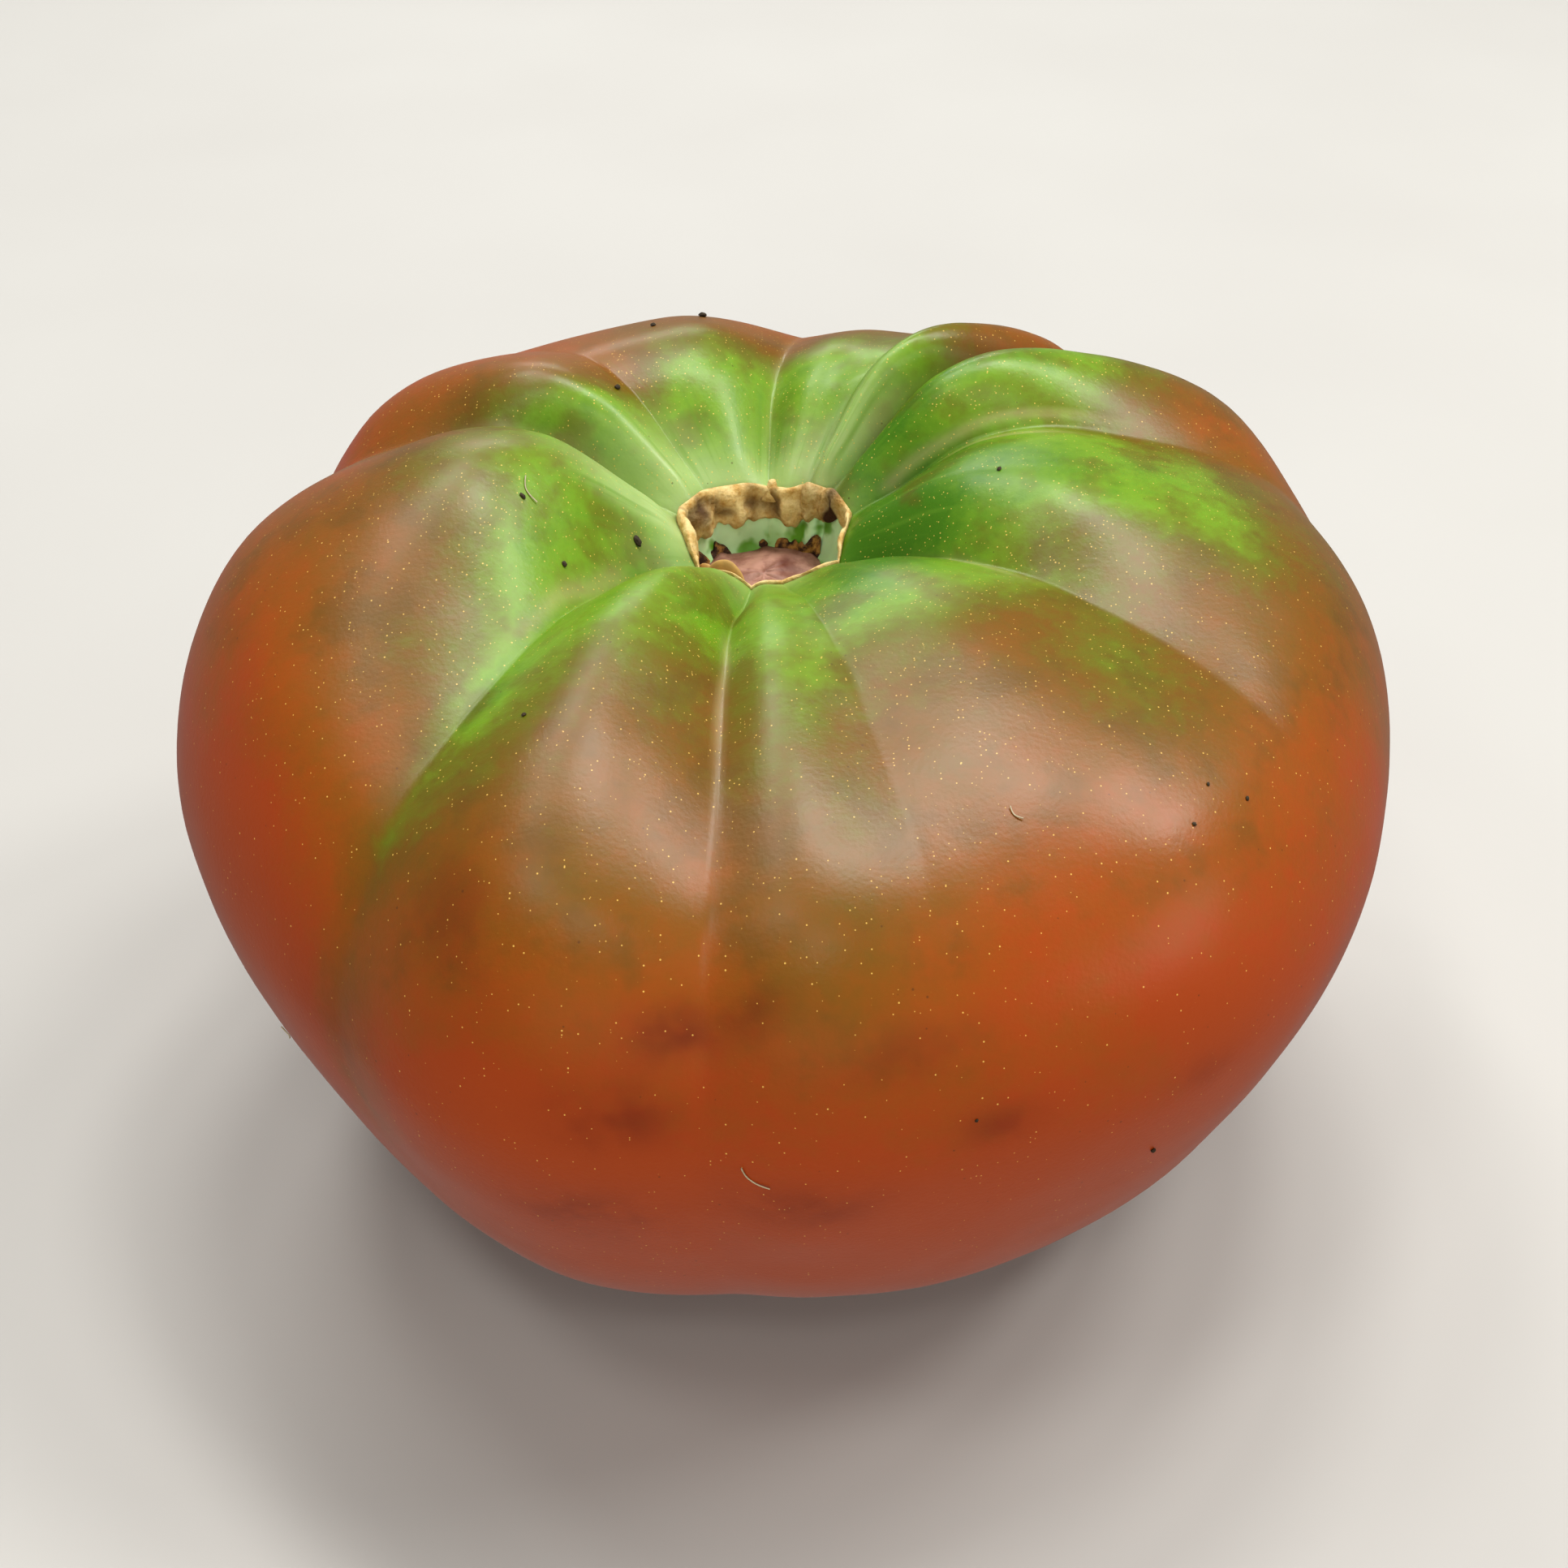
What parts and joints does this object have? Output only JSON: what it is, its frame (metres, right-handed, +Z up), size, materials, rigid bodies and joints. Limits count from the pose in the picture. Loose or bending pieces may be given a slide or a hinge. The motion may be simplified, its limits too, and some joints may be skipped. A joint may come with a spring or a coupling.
{
  "type": "tomato",
  "caption": "Whole ribbed beefsteak tomato, half ripe, with a torn stem scar on top, resting on a small flat spot.",
  "frame": {"origin": "bottom centre of the fruit's box, on the surface that it rests on", "axes": "+Z up through the stem scar, +X to the right and -Y to the front"},
  "size_m": [0.096, 0.0924, 0.061],
  "materials": {
    "tomato_skin": "satin waxy skin, green round the stem and orange-red below"
  },
  "bodies": {
    "root": {"tomato": "tomato_skin"}
  },
  "joints": []
}
